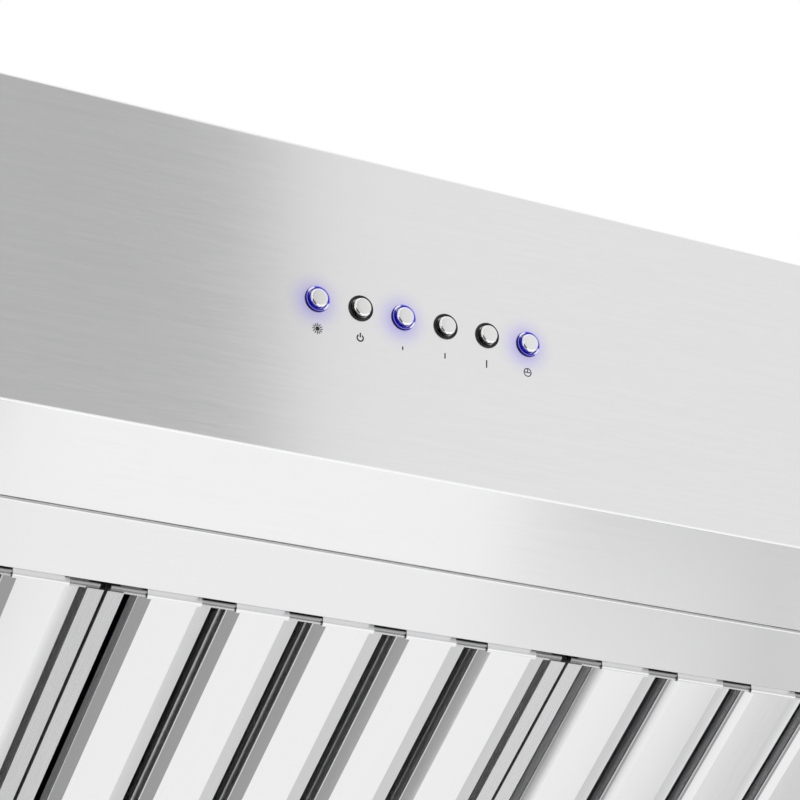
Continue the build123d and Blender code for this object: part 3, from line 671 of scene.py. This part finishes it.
def folded(line, thickness, radii, steps=6):
    """The outline of a sheet folded along a line, which lies left of it. The radii are inside the folds."""
    left, right = [], []
    radii = [None, *radii, None] if isinstance(radii, tuple) else [radii] * len(line)
    for i, (x, y) in enumerate(line):
        before = Vector((x - line[i - 1][0], y - line[i - 1][1])).normalized() if i else None
        after = None
        if i + 1 < len(line):
            after = Vector((line[i + 1][0] - x, line[i + 1][1] - y)).normalized()
        if before is None or after is None:
            way = after if before is None else before
            right.append((x, y))
            left.append((x - way.y * thickness, y + way.x * thickness))
            continue
        turn = atan2(before.x * after.y - before.y * after.x, before.dot(after))
        near = radii[i] + thickness if turn > 0 else radii[i]
        reach = near * tan(abs(turn) / 2)
        start = Vector((x, y)) - before * reach
        side = 1 if turn > 0 else -1
        centre = start + Vector((-before.y, before.x)) * near * side
        for step in range(steps + 1):
            angle = turn * step / steps
            spoke = Vector((before.y, -before.x)) * side
            spoke.rotate(Matrix.Rotation(angle, 2))
            right.append((centre + spoke * near)[:])
            left.append((centre + spoke * (near - side * thickness))[:])
    return right + left[::-1]


def cut_out(shape, cutter):
    """Takes one closed mesh out of another."""
    solids = []
    for name, part in (("whole", shape), ("hole", cutter)):
        mesh = bpy.data.meshes.new(name)
        bmesh.ops.recalc_face_normals(part, faces=part.faces)
        part.to_mesh(mesh)
        part.free()
        solid = bpy.data.objects.new(name, mesh)
        bpy.context.scene.collection.objects.link(solid)
        solids.append(solid)
    whole, hole = solids
    cut = whole.modifiers.new("cut", "BOOLEAN")
    cut.object = hole
    cut.solver = "EXACT"
    bpy.context.view_layer.update()
    mesh = bpy.data.meshes.new_from_object(whole.evaluated_get(bpy.context.evaluated_depsgraph_get()))
    done = bmesh.new()
    done.from_mesh(mesh)
    for solid in solids:
        old = solid.data
        bpy.data.objects.remove(solid)
        bpy.data.meshes.remove(old)
    bpy.data.meshes.remove(mesh)
    return done


def lower_channel(x, finger_slot):
    left, right = x - flat_half - left_flank, x + flat_half + right_flank
    fold_height = baffle_low + flank_rise
    line = [(left, fold_height + lip), (left, fold_height), (x - flat_half, baffle_low),
            (x + flat_half, baffle_low), (right, fold_height), (right, fold_height + lip)]
    shape = bmesh.new()
    radii = (lip_radius, fold_radius, 4 * fold_radius, fold_radius)
    drawn_out(shape, folded(line, baffle_sheet, radii), channel_front, channel_rear, Y)
    if finger_slot:
        middle = filter_rear - slot_setback
        straight = (slot_long - slot_wide) / 2
        rim = []
        for i in range(48):
            a = 2 * pi * (i + 0.5) / 48
            end = middle + (straight if sin(a) > 0 else -straight)
            rim.append((x + slot_wide / 2 * cos(a), end + slot_wide / 2 * sin(a)))
        hole = bmesh.new()
        drawn_out(hole, rim, baffle_low - 1, baffle_low + 2, Z)
        shape = cut_out(shape, hole)
    return shape


def front_tab(shape, x):
    """The front end of a flat, which leans out and stands up before the frame's wall."""
    line = [(filter_front - tab_reach, baffle_low + tab_height),
            (filter_front - tab_reach, baffle_low + tab_reach * tan(tab_lean)),
            (filter_front, baffle_low), (channel_front, baffle_low)]
    half = flat_half + tab_flare
    drawn_out(shape, folded(line, baffle_sheet, 0.5), x - half, x + half, X)


def rear_tab(shape, x):
    """The rear end of a flat, which folds up over the frame's wall."""
    line = [(channel_rear, baffle_low), (filter_rear, baffle_low), (filter_rear, baffle_low + tab_height)]
    drawn_out(shape, folded(line, baffle_sheet, 0.3), x - flat_half, x + flat_half, X)


def joined(shapes):
    """Several meshes as one."""
    whole = bmesh.new()
    for shape in shapes:
        mesh = bpy.data.meshes.new("part")
        shape.to_mesh(mesh)
        shape.free()
        whole.from_mesh(mesh)
        bpy.data.meshes.remove(mesh)
    return whole


baffle_colour = (0.90, 0.90, 0.905, 1)
baffle_steel = brushed("brushed baffles", (0, 1, 0), colour=baffle_colour, roughness=0.12, depth=0.02)
frame_steel = brushed("brushed frame", (0, 1, 0), colour=(0.80, 0.80, 0.805, 1), roughness=0.28)
# The hem's dark grey is painted shade, below the frame's front wall between the tabs.
shaded_hem_steel = brushed("brushed hem with painted shade", (1, 0, 0), colour=(0.42, 0.42, 0.425, 1), roughness=0.3)
for name, middle in zip(filter_names, filter_xs):
    places = [middle + x + channel_shift for x in baffle_xs]
    channels = [lower_channel(x, i == 2) for i, x in enumerate(places)]
    ends = bmesh.new()
    for x in places:
        front_tab(ends, x)
        rear_tab(ends, x)
    add_piece(
        f"filter_lower_{name}", joined([*channels, ends]), baffle_steel, f"filter_{name}",
        replaces=[f"lower_baffles_{name}"], sharp=40,
    )
    shape = bmesh.new()
    for x in baffle_xs[:-1]:
        left, right = middle + x + 25 - upper_half, middle + x + 25 + upper_half
        line = [(right, upper_foot), (right, upper_top), (left, upper_top), (left, upper_foot)]
        drawn_out(shape, folded(line, baffle_sheet, fold_radius), channel_front, channel_rear, Y)
    add_piece(
        f"filter_upper_{name}", shape, baffle_steel, f"filter_{name}",
        replaces=[f"upper_baffles_{name}"], sharp=40,
    )
    dress(frame_steel, f"filter_frame_{name}")
    hem = bmesh.new()
    half = filter_half - hem_inset
    ring = [(hem_place[0] + hem_radius * cos(a), hem_place[1] + hem_radius * sin(a)) for a in hem_angles]
    drawn_out(hem, ring, middle - half, middle + half, X)
    add_piece(f"frame_hem_{name}", hem, shaded_hem_steel, f"filter_{name}", sharp=50)


# ---------------------------------------------------------------- catch magnets
# Six ferrite blocks under the pan's rear ledge hold the filters shut. Ferrite
# is sintered, so it is dark, dull and a little grainy.
dress(moulded("sintered ferrite", (0.035, 0.035, 0.038), 0.62, 0.3, 2600.0), "catch_magnets")


# ---------------------------------------------------------------- lamps
# Two small lamps are flush with the front strip. Each has a turned, polished
# bezel on two spring clips, a frosted lens and an extruded heatsink.
lamp_xs = (-290.0, 290.0)
lamp_y = -148.94
bezel_profile = (
    (16.8, 0.9), (17.0, 0.5), (17.5, 0.25), (18.6, 0.2), (19.3, 0.28), (19.7, 0.55), (19.8, 1.0),
    (19.8, 10.2), (16.8, 10.2), (16.8, 0.9)
)
bezel_face = 18.0
lens_profile = ((0, 1.2), (9.0, 1.22), (14.5, 1.32), (16.4, 1.6), (16.75, 2.0), (16.75, 3.2), (0, 3.2))
clip_root, clip_bend, clip_reach, clip_half = 19.5, 20.4, 24.8, 4.0
clip_sheet, clip_height = 0.8, 5.0
sheet_top = 1.2

bezel_steel = satin_chrome("polished bezel", bezel_face, 0.12, 0.06, (0.82, 0.82, 0.83, 1))
lens_glass, tree = bare_material("frosted lens")
place = own_place(tree)
prisms = node(tree, "TexVoronoi", {"Vector": place, "Scale": 620.0}).outputs["Distance"]
frost = remap(tree, noise(tree, place, 2400.0), to=(0.28, 0.42))
surface(
    tree,
    {"Base Color": (0.90, 0.91, 0.90, 1), "Roughness": frost, "Transmission Weight": 0.35,
     "Normal": bumped(tree, prisms, 0.35, 0.3)},
)
bezels, lenses = [], []
for x in lamp_xs:
    shape = bmesh.new()
    turned(shape, bezel_profile)
    for side in (-1, 1):
        for reach, rise in ((clip_reach, clip_sheet), (clip_bend, clip_height)):
            inner, outer = sorted((side * clip_root, side * reach))
            block(shape, inner, outer, -clip_half, clip_half, sheet_top, sheet_top + rise)
    bmesh.ops.translate(shape, vec=(x, lamp_y, 0), verts=shape.verts)
    bezels.append(shape)
    shape = bmesh.new()
    turned(shape, lens_profile)
    bmesh.ops.translate(shape, vec=(x, lamp_y, 0), verts=shape.verts)
    lenses.append(shape)
add_piece("lamp_bezel_rings", joined(bezels), bezel_steel, "hood", replaces=["lamp_bezels"])
add_piece("lamp_lens_discs", joined(lenses), lens_glass, "hood", replaces=["lamp_lenses"])
aluminium = (0.72, 0.73, 0.74, 1)
extruded = brushed("extruded aluminium", (0, 1, 0), colour=aluminium, roughness=0.38, strokes=2200.0)
dress(extruded, "lamp_heatsinks")


# ---------------------------------------------------------------- deck and blower box
# The deck and the blower box over it are galvanised sheet, with the large
# zinc spangle that hot dipping leaves. Pan head screws hold flange and lid.
galvanised, tree = bare_material("galvanised sheet")
place = own_place(tree)
warp = node(tree, "TexNoise", {"Vector": place, "Scale": 90.0, "Detail": 2.0}).outputs["Color"]
bent = node(tree, "VectorMath", {0: warp, "Scale": 0.006}, operation="SCALE").outputs[0]
moved = node(tree, "VectorMath", {0: place, 1: bent}, operation="ADD").outputs[0]
spangle = node(tree, "TexVoronoi", {"Vector": moved, "Scale": 120.0}).outputs["Color"]
crystal = node(tree, "SeparateColor", {"Color": spangle}).outputs
zinc = remap(tree, crystal["Red"], to=(0.50, 0.60))
zinc_grey = node(tree, "CombineColor", {0: zinc, 1: zinc, 2: zinc}).outputs[0]
surface(
    tree,
    {"Base Color": blend(tree, 0.12, zinc_grey, (0.42, 0.50, 0.60, 1)), "Metallic": 0.92,
     "Roughness": remap(tree, crystal["Green"], to=(0.34, 0.52)),
     "Normal": bumped(tree, noise(tree, place, 900.0), 0.12, 0.1)},
)
dress(galvanised, "top_deck", "blower_box", "blower_box_lid", "scroll_side_left", "scroll_side_right")

screw_profile = ((0, 1.0), (0.8, 1.0), (1.1, 2.0), (2.3, 1.9), (3.1, 1.4), (3.4, 0.6), (4.3, 0.5), (4.4, 0))


def facing(x, y, z, way=(0, 0, 1)):
    """A place, in millimetres, whose Z axis points a way."""
    return Matrix.Translation((x, y, z)) @ Vector(way).to_track_quat("Z", "X").to_matrix().to_4x4()


def turned_at(profile, places, count=24):
    """The same turned shape in several places."""
    shapes = []
    for place in places:
        shape = bmesh.new()
        turned(shape, profile, count)
        bmesh.ops.transform(shape, matrix=place, verts=shape.verts)
        shapes.append(shape)
    return joined(shapes)


flange_top, flange_side, flange_ends = 135.13, 208, (-148, 198)
lid_side, lid_front, lid_rear, lid_skirt_middle = 201.2, -141.2, 191.2, 292.5
hood_top, fascia_flange = 135.33, -262
flange_screws = [facing(x, y, flange_top) for x in (-flange_side, flange_side) for y in range(-125, 176, 75)]
flange_screws += [facing(x, y, flange_top) for y in flange_ends for x in range(-160, 161, 80)]
lid_screws = []
for side in (-1, 1):
    lid_screws += [facing(side * lid_side, y, lid_skirt_middle, (side, 0, 0)) for y in (-100, 25, 150)]
for x in range(-150, 151, 100):
    lid_screws.append(facing(x, lid_front, lid_skirt_middle, (0, -1, 0)))
    lid_screws.append(facing(x, lid_rear, lid_skirt_middle, (0, 1, 0)))
fascia_screws = [facing(x, fascia_flange, hood_top) for x in range(-400, 401, 160)]
screw_steel = turned_metal("zinc plated screws", 0.22, (0.66, 0.66, 0.64, 1))
for name, places in (("flange", flange_screws), ("lid", lid_screws), ("fascia", fascia_screws)):
    add_piece(f"{name}_screws", turned_at(screw_profile, places), screw_steel, "hood")


# ---------------------------------------------------------------- scroll
# The scroll's wrap is one strip of sheet, rolled to a growing spiral between
# two flat sides, and a pressed bell ring guides the air into each inlet.
axle = Vector((0, -10.0, 175.0))
scroll_half = 88.0
scroll_start = radians(62)
scroll_radii = (83.0, 135.0)
scroll_sheet = 1.0
outlet_top = 268.0
nose_radius = 3.0              # rolled edge at the cutoff
inlet_ring = (
    (57, -1.0), (57.2, 1.2), (58.4, 3.6), (60.6, 4.8), (63.0, 4.4), (64.6, 2.8), (65.2, 0), (64.2, 0),
    (62.6, 2.6), (60.8, 3.6), (59.4, 2.8), (58.4, 0), (57, -1.0)
)
spiral_steps = 120
inner_line, outer_line = [], []
for i in range(spiral_steps + 1):
    share = i / spiral_steps
    angle = scroll_start + share * (2 * pi - scroll_start)
    radius = scroll_radii[0] * (scroll_radii[1] / scroll_radii[0]) ** share
    for line, reach in ((inner_line, radius), (outer_line, radius + scroll_sheet)):
        line.append((axle.y + reach * cos(angle), axle.z + reach * sin(angle)))
shape = bmesh.new()
far_wall = axle.y + scroll_radii[1]
band = [*inner_line, (far_wall, outlet_top), (far_wall + scroll_sheet, outlet_top), *reversed(outer_line)]
drawn_out(shape, band, -scroll_half, scroll_half, X)
nose_y, nose_z = inner_line[0]
block(shape, -scroll_half, scroll_half, nose_y - scroll_sheet, nose_y, nose_z, outlet_top)
nose = []
for i in range(24):
    angle = 2 * pi * i / 24
    nose.append((nose_y - 0.5 + nose_radius * cos(angle), nose_z + 1 + nose_radius * sin(angle)))
drawn_out(shape, nose, -scroll_half, scroll_half, X)
add_piece("scroll_spiral", shape, galvanised, "hood", replaces=["scroll_wrap"])
inlets = [facing(side * (scroll_half + scroll_sheet), axle.y, axle.z, (side, 0, 0)) for side in (-1, 1)]
add_piece("inlet_rings", turned_at(inlet_ring, inlets, 96), galvanised, "hood")


# ---------------------------------------------------------------- blower wheel
# A squirrel cage wheel: forward curved blades are crimped into two rolled
# rings and a middle disc, and the hub's collar is fixed on the shaft.
wheel_half = 82.0
blade_radii = (62.0, 74.0)
blade_total = 40
blade_sheet = 0.6
blade_sweep = radians(11)
ring_section = ((69.4, 0), (69.4, 2.4), (70.2, 3.0), (74.2, 3.0), (75.0, 2.4), (75.0, 0), (69.4, 0))
disc_section = (
    (0, 1.2), (20.0, 1.2), (24.0, 3.0), (40.0, 3.0), (46.0, 0.75), (63.5, 0.75), (63.5, -0.75), (46.0, -0.75),
    (40.0, 1.5), (24.0, 1.5), (20.0, -0.75), (0, -0.75)
)
hub_section = ((4.06, 0), (12.0, 0), (12.0, 14.6), (11.0, 16.0), (4.06, 16.0), (4.06, 0))
wheel_colour = (0.68, 0.69, 0.70, 1)
wheel_sheet = brushed("bright wheel sheet", (1, 0, 0), colour=wheel_colour, roughness=0.3, strokes=1400.0)
to_right = facing(0, 0, 0, (1, 0, 0))
blades = bmesh.new()
for i in range(blade_total):
    line = []
    for step in range(7):
        share = step / 6
        radius = blade_radii[0] + share * (blade_radii[1] - blade_radii[0])
        angle = 2 * pi * i / blade_total + blade_sweep * share ** 2
        line.append((radius * cos(angle), radius * sin(angle)))
    drawn_out(blades, folded(line, blade_sheet, 0.01, 1), -wheel_half + 1, wheel_half - 1, X)
wheel_turns = [turned_at(disc_section, [to_right], 96), turned_at(hub_section, [to_right], 48)]
for side in (-1, 1):
    outward = facing(side * (wheel_half - ring_section[3][1]), 0, 0, (side, 0, 0))
    wheel_turns.append(turned_at(ring_section, [outward], 96))
add_piece(
    "wheel_cage", joined([blades, *wheel_turns]), wheel_sheet, "wheel",
    replaces=["impeller"], place=spot(*axle),
)


# ---------------------------------------------------------------- motor
# The motor's die cast case is finned and painted, with pressed end shields.
# It stands on a three armed bracket, and its ground shaft carries the wheel.
motor_face = 108.0
motor_case = (
    (0, 0), (13.9, 0), (14.0, 0.8), (33.0, 0.8), (38.5, 1.8), (41.6, 4.6), (42.4, 8.0), (42.4, 12.0),
    (43.2, 13.0), (43.2, 57.0), (42.4, 58.0), (42.4, 63.0), (41.0, 67.0), (37.0, 69.2), (12.0, 69.2),
    (11.0, 70.0), (0, 70.0)
)
fin_count = 36
fin_foot, fin_top, fin_half = 42.8, 43.95, 0.8
fin_start, fin_end = 15, 55    # from the motor's face
shaft_section = ((0, -4.0), (3.4, -4.0), (4.0, -3.3), (4.0, 108.0), (0, 108.0))
motor_paint = moulded("baked motor enamel", (0.055, 0.058, 0.062), 0.38, 0.12, 1500.0)
case = turned_at(motor_case, [facing(motor_face, 0, 0, (1, 0, 0))], 96)
fins = []
for i in range(fin_count):
    fin = bmesh.new()
    block(fin, motor_face + fin_start, motor_face + fin_end, -fin_half, fin_half, fin_foot, fin_top)
    bmesh.ops.rotate(fin, matrix=Matrix.Rotation(2 * pi * i / fin_count, 3, "X"), verts=fin.verts)
    fins.append(fin)
add_piece(
    "motor_case", joined([case, *fins]), motor_paint, "hood", replaces=["motor_body"],
    place=spot(*axle),
)
add_piece(
    "ground_shaft", turned_at(shaft_section, [to_right], 48),
    turned_metal("ground steel", 0.16, (0.84, 0.84, 0.85, 1)), "wheel",
    replaces=["motor_shaft"], place=spot(*axle),
)
dress(galvanised, "motor_bracket")


# ---------------------------------------------------------------- capacitor
# The motor's run capacitor is a moulded white block with a potted top and two
# flat spade terminals, fixed to the box's right wall.
capacitor_low, capacitor_high = (175.0, 95.0, 198.0), (199.0, 145.0, 232.0)
shape = bmesh.new()
(x0, y0, z0), (x1, y1, z1) = capacitor_low, capacitor_high
block(shape, x0 + 6, x1, y0, y1, z0, z1)
block(shape, x0 + 4.5, x0 + 7, y0 + 2, y1 - 2, z0 + 2, z1 - 2)
for y in (y0 + 18, y1 - 18):
    block(shape, x0, x0 + 6, y - 0.4, y + 0.4, z0 + 14, z0 + 20.3)
add_piece(
    "capacitor_block", shape, moulded("white capacitor case", (0.70, 0.70, 0.68), 0.4, 0.04), "hood",
    replaces=["capacitor"], bevel=0.35,
)


# ---------------------------------------------------------------- duct transition
# One sheet is creased from the scroll's square outlet to the round collar,
# with a fan of fine bends at each corner.
round_radius, round_y, round_z = 99.0, 60.0, 299.0
transition_steps = 96


def shell_points(shape, grow):
    """The four corners and the round end of one face of the sheet."""
    wide, near, far = scroll_half + grow, nose_y - grow, far_wall + grow
    corners = [(wide, far), (-wide, far), (-wide, near), (wide, near)]
    ends = [shape.verts.new((x, y, outlet_top)) for x, y in corners]
    rim = []
    for i in range(transition_steps):
        a = 2 * pi * i / transition_steps
        radius = round_radius + grow
        rim.append(shape.verts.new((radius * cos(a), round_y + radius * sin(a), round_z)))
    return ends, rim


shape = bmesh.new()
inner, outer = shell_points(shape, 0), shell_points(shape, 1)
for ends, rim in (inner, outer):
    for i in range(transition_steps):
        corner = ends[4 * i // transition_steps]
        shape.faces.new((corner, rim[i], rim[(i + 1) % transition_steps]))
    for i in range(4):
        shape.faces.new((ends[i], ends[i - 1], rim[i * transition_steps // 4]))
for i in range(transition_steps):
    j = (i + 1) % transition_steps
    shape.faces.new((inner[1][i], inner[1][j], outer[1][j], outer[1][i]))
for i in range(4):
    shape.faces.new((inner[0][i], inner[0][i - 1], outer[0][i - 1], outer[0][i]))
add_piece(
    "transition_sheet", shape, galvanised, "hood", replaces=["duct_transition"], sharp=30,
)


# ---------------------------------------------------------------- duct collar and damper
# The collar is a rolled tube with two swaged beads, spot welded on a square
# plate. Two steel rods across it carry the damper's aluminium flaps.
collar_line = (
    (100.0, 0), (100.0, 7.0), (99.3, 8.4), (99.3, 9.6), (100.0, 11.0), (100.0, 42.0), (99.3, 43.4),
    (99.3, 44.6), (100.0, 46.0), (100.0, 50.6), (100.3, 51.8), (100.7, 51.8), (101.0, 50.6),
    (101.0, 46.0), (100.3, 44.6), (100.3, 43.4), (101.0, 42.0), (101.0, 11.0), (100.3, 9.6),
    (100.3, 8.4), (101.0, 7.0), (101.0, 0)
)
collar_foot = 300.0
plate_half, plate_sheet = 120.0, 1.2
wall_middle = 100.5            # of the tube's wall, where the plate and the rods end
rod_radius, rod_gap, rod_height = 1.5, 3.2, 26.0
stop_angles = (60, 120, 240, 300)
stop_block = (95.5, 100.4, -5, 5, 20.14, 23.14)
collar_steps = 96
shape = bmesh.new()
turned(shape, collar_line, collar_steps)
rings = []
for height in (0, plate_sheet):
    near, far = [], []
    for i in range(collar_steps):
        c, s = cos(2 * pi * i / collar_steps), sin(2 * pi * i / collar_steps)
        near.append(shape.verts.new((wall_middle * c, wall_middle * s, height)))
        stretch = plate_half / max(abs(c), abs(s))
        far.append(shape.verts.new((stretch * c, stretch * s, height)))
    rings.append((near, far))
(low_near, low_far), (high_near, high_far) = rings
for i in range(collar_steps):
    j = (i + 1) % collar_steps
    shape.faces.new((high_near[i], high_far[i], high_far[j], high_near[j]))
    shape.faces.new((low_near[i], low_near[j], low_far[j], low_far[i]))
    shape.faces.new((low_far[i], low_far[j], high_far[j], high_far[i]))
for angle in stop_angles:
    stop = bmesh.new()
    block(stop, *stop_block)
    bmesh.ops.rotate(stop, matrix=Matrix.Rotation(radians(angle), 3, "Z"), verts=stop.verts)
    shape = joined([shape, stop])
place = spot(0, round_y, collar_foot)
add_piece("collar_tube", shape, galvanised, "hood", replaces=["duct_collar"], place=place)
rod_section = ((0, -wall_middle), (rod_radius, -wall_middle), (rod_radius, wall_middle), (0, wall_middle))
rods = [facing(0, side * rod_gap, rod_height, (1, 0, 0)) for side in (-1, 1)]
add_piece("damper_rods", turned_at(rod_section, rods), screw_steel, "hood", place=place)
rivet_profile = ((0, 1.3), (1.4, 1.2), (2.4, 0.8), (2.9, 0))
edge = plate_half - 8
rivets = [facing(x, y, plate_sheet) for x in (-edge, 0, edge) for y in (-edge, 0, edge) if x or y]
add_piece("plate_rivets", turned_at(rivet_profile, rivets), screw_steel, "hood", place=place)
flap_colour = (0.80, 0.81, 0.82, 1)
rolled = brushed("rolled aluminium", (1, 0, 0), colour=flap_colour, roughness=0.3, strokes=700.0)
dress(rolled, "damper_flap_front", "damper_flap_rear")


# ---------------------------------------------------------------- wiring
# The supply enters a galvanised junction box through a moulded bushing. Inside
# it is a terminal block, and a switching module hangs under the deck.
dress(galvanised, "junction_box", "junction_box_cover")
dress(moulded("grey moulded plastic", (0.30, 0.31, 0.32), 0.42), "terminal_block")
brass = turned_metal("brass", 0.25, (0.78, 0.57, 0.28, 1))
terminal_x, terminal_y, terminal_floor = -280, 170, 143.33
terminal_pitch = 13
terminals = [facing(terminal_x + (i - 1.5) * terminal_pitch, terminal_y, terminal_floor) for i in range(4)]
terminal_screw = ((0, 0.8), (0.6, 0.8), (0.8, 1.6), (2.4, 1.6), (2.8, 1.2), (2.8, 0))
add_piece("terminal_screws", turned_at(terminal_screw, terminals), brass, "hood")
module_low, module_high = (-375.0, -205.05, 96.93), (-265.0, -135.05, 132.93)
socket_count, socket_pitch = 4, 15
rib_count, rib_pitch = 9, 9
(x0, y0, z0), (x1, y1, z1) = module_low, module_high
shape = bmesh.new()
block(shape, x0, x1 - 8, y0, y1, z0 + 3, z1)
block(shape, x0 + 3, x1 - 11, y0 + 3, y1 - 3, z0, z0 + 3)
for i in range(socket_count):
    y = y0 + 8 + i * socket_pitch
    block(shape, x1 - 8, x1, y, y + 10, z0 + 8, z0 + 20)
for i in range(rib_count):
    x = x0 + 12 + i * rib_pitch
    block(shape, x, x + 3, y0 + 10, y1 - 10, z0, z0 + 1.2)
module_plastic = moulded("grey module case", (0.22, 0.23, 0.24), 0.5)
add_piece(
    "module_case", shape, module_plastic, "hood", replaces=["power_module"], bevel=0.5,
)
